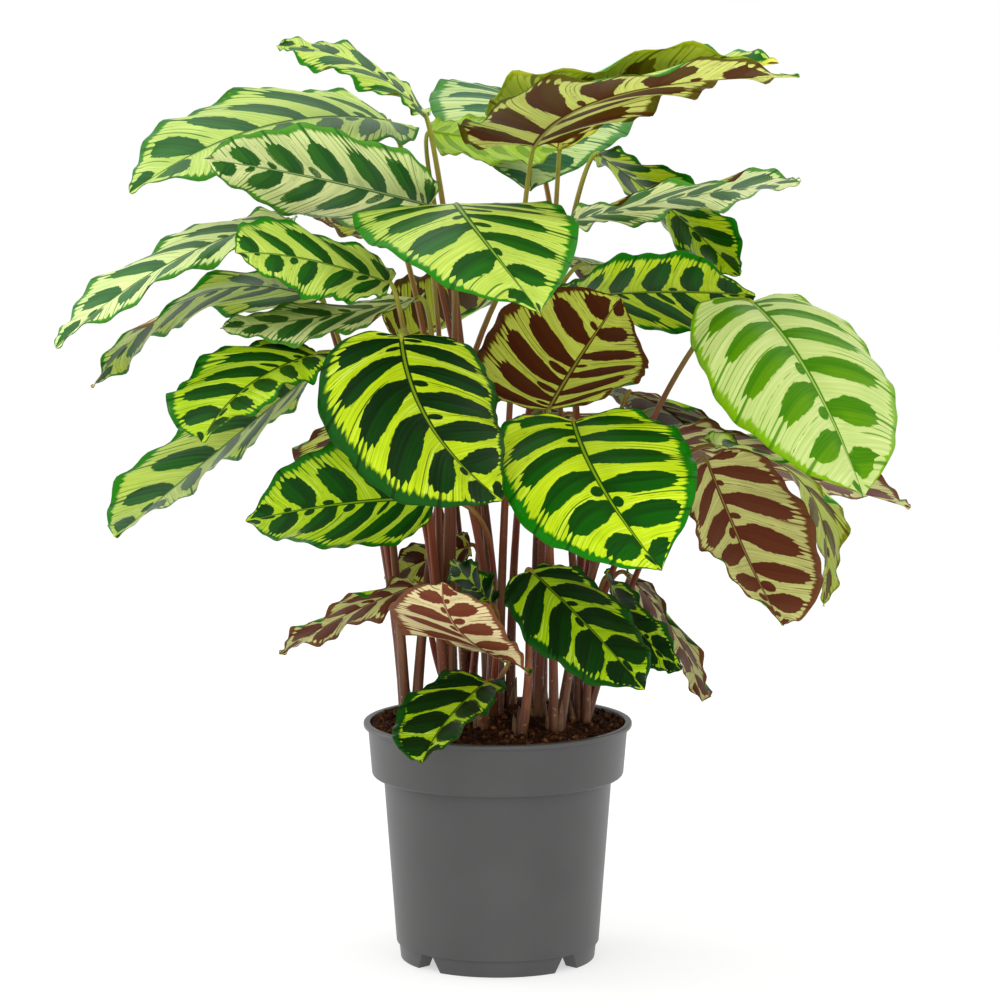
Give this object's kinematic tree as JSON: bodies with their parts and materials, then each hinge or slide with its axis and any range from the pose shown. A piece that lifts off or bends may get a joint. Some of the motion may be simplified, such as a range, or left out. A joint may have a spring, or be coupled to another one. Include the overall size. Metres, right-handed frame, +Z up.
{
  "type": "potted calathea plant",
  "caption": "Bushy peacock plant with striped oval leaves on slender stalks, standing in a round tapered nursery pot with a collar rim and notched feet.",
  "frame": {"origin": "on the pot's axis at the level of the feet, in the middle of the plant's outline", "axes": "+Z up along the pot's axis, -Y towards the viewer of the picture, +X to the picture's right"},
  "size_m": [0.6638, 0.5405, 0.7199],
  "materials": {
    "pot": "moulded satin grey plastic",
    "soil": "crumbly dark peat, matte",
    "leaf": "satin leaf, striped dark green on yellow-green, maroon markings below",
    "petiole": "reddish brown stalk, satin"
  },
  "bodies": {
    "root": {"pot": "pot", "soil": "soil", "front_left": "leaf", "front_right": "leaf", "right_pale": "leaf", "crown_front": "leaf", "centre_maroon": "leaf", "upper_left_near": "leaf", "upper_left_far": "leaf", "top_left": "leaf", "left_middle_near": "leaf", "left_hidden": "leaf", "top_middle": "leaf", "top_right_near": "leaf", "top_right_far": "leaf", "top_left_far": "leaf", "right_upper_far": "leaf", "right_upper_near": "leaf", "right_middle": "leaf", "left_long_far": "leaf", "left_long_near": "leaf", "left_shelf": "leaf", "left_lower_near": "leaf", "left_lower_far": "leaf", "left_low": "leaf", "low_left_maroon": "leaf", "low_centre_maroon": "leaf", "pot_front": "leaf", "low_right_near": "leaf", "low_right_middle": "leaf", "low_right_curled": "leaf", "stem_back": "leaf", "centre_low": "leaf", "right_low_near": "leaf", "right_low_far": "leaf", "right_back_long": "leaf", "centre_back": "leaf", "back_high_left": "leaf", "back_high": "leaf", "back_high_right": "leaf", "back_low_right": "leaf", "back_low": "leaf", "back_low_left": "leaf", "back_right": "leaf", "stem_west": "petiole", "stem_south_west": "petiole", "stem_west_heart": "petiole", "stem_south": "petiole", "stem_front": "petiole", "stem_south_east": "petiole", "stem_east": "petiole", "stem_north_east": "petiole", "stem_east_heart": "petiole", "stem_heart": "petiole", "stem_north_heart": "petiole", "stem_north": "petiole", "stem_far_north_east": "petiole"}
  },
  "joints": []
}
